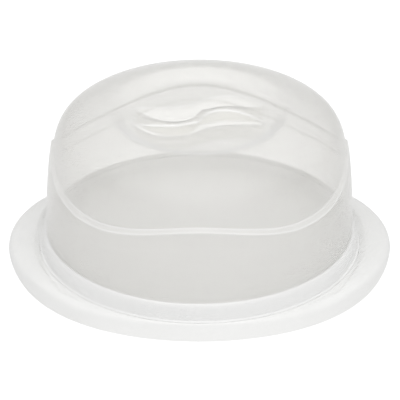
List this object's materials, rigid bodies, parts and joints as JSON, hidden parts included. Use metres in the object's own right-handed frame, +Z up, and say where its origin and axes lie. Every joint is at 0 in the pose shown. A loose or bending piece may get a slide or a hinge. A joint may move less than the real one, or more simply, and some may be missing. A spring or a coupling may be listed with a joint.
{
  "type": "cake carrier",
  "caption": "Oval serving tray with grip wings and finger arches under both ends, and a round translucent domed cover that lifts off by an S-shaped grip bar set in a dish.",
  "frame": {"origin": "on the table surface, at the middle of the tray", "axes": "+Z up along the way the cover lifts, +X to the right along the tray's long axis over the two grip wings, -Y towards the front"},
  "size_m": [0.3874, 0.329, 0.1748],
  "materials": {
    "tray_white": "satin white injection moulded polypropylene, very slightly warm, fine moulded texture on the deck",
    "cover_clear": "natural translucent polypropylene, glossy outside, slightly hazy"
  },
  "bodies": {
    "tray": {"base_tray": "tray_white"},
    "cover": {"dome_cover": "cover_clear"}
  },
  "joints": [
    {"name": "cover_lift", "type": "slide", "parent": "tray", "child": "cover", "axis": [0, 0, 1], "range_m": [0, 0.2]}
  ]
}
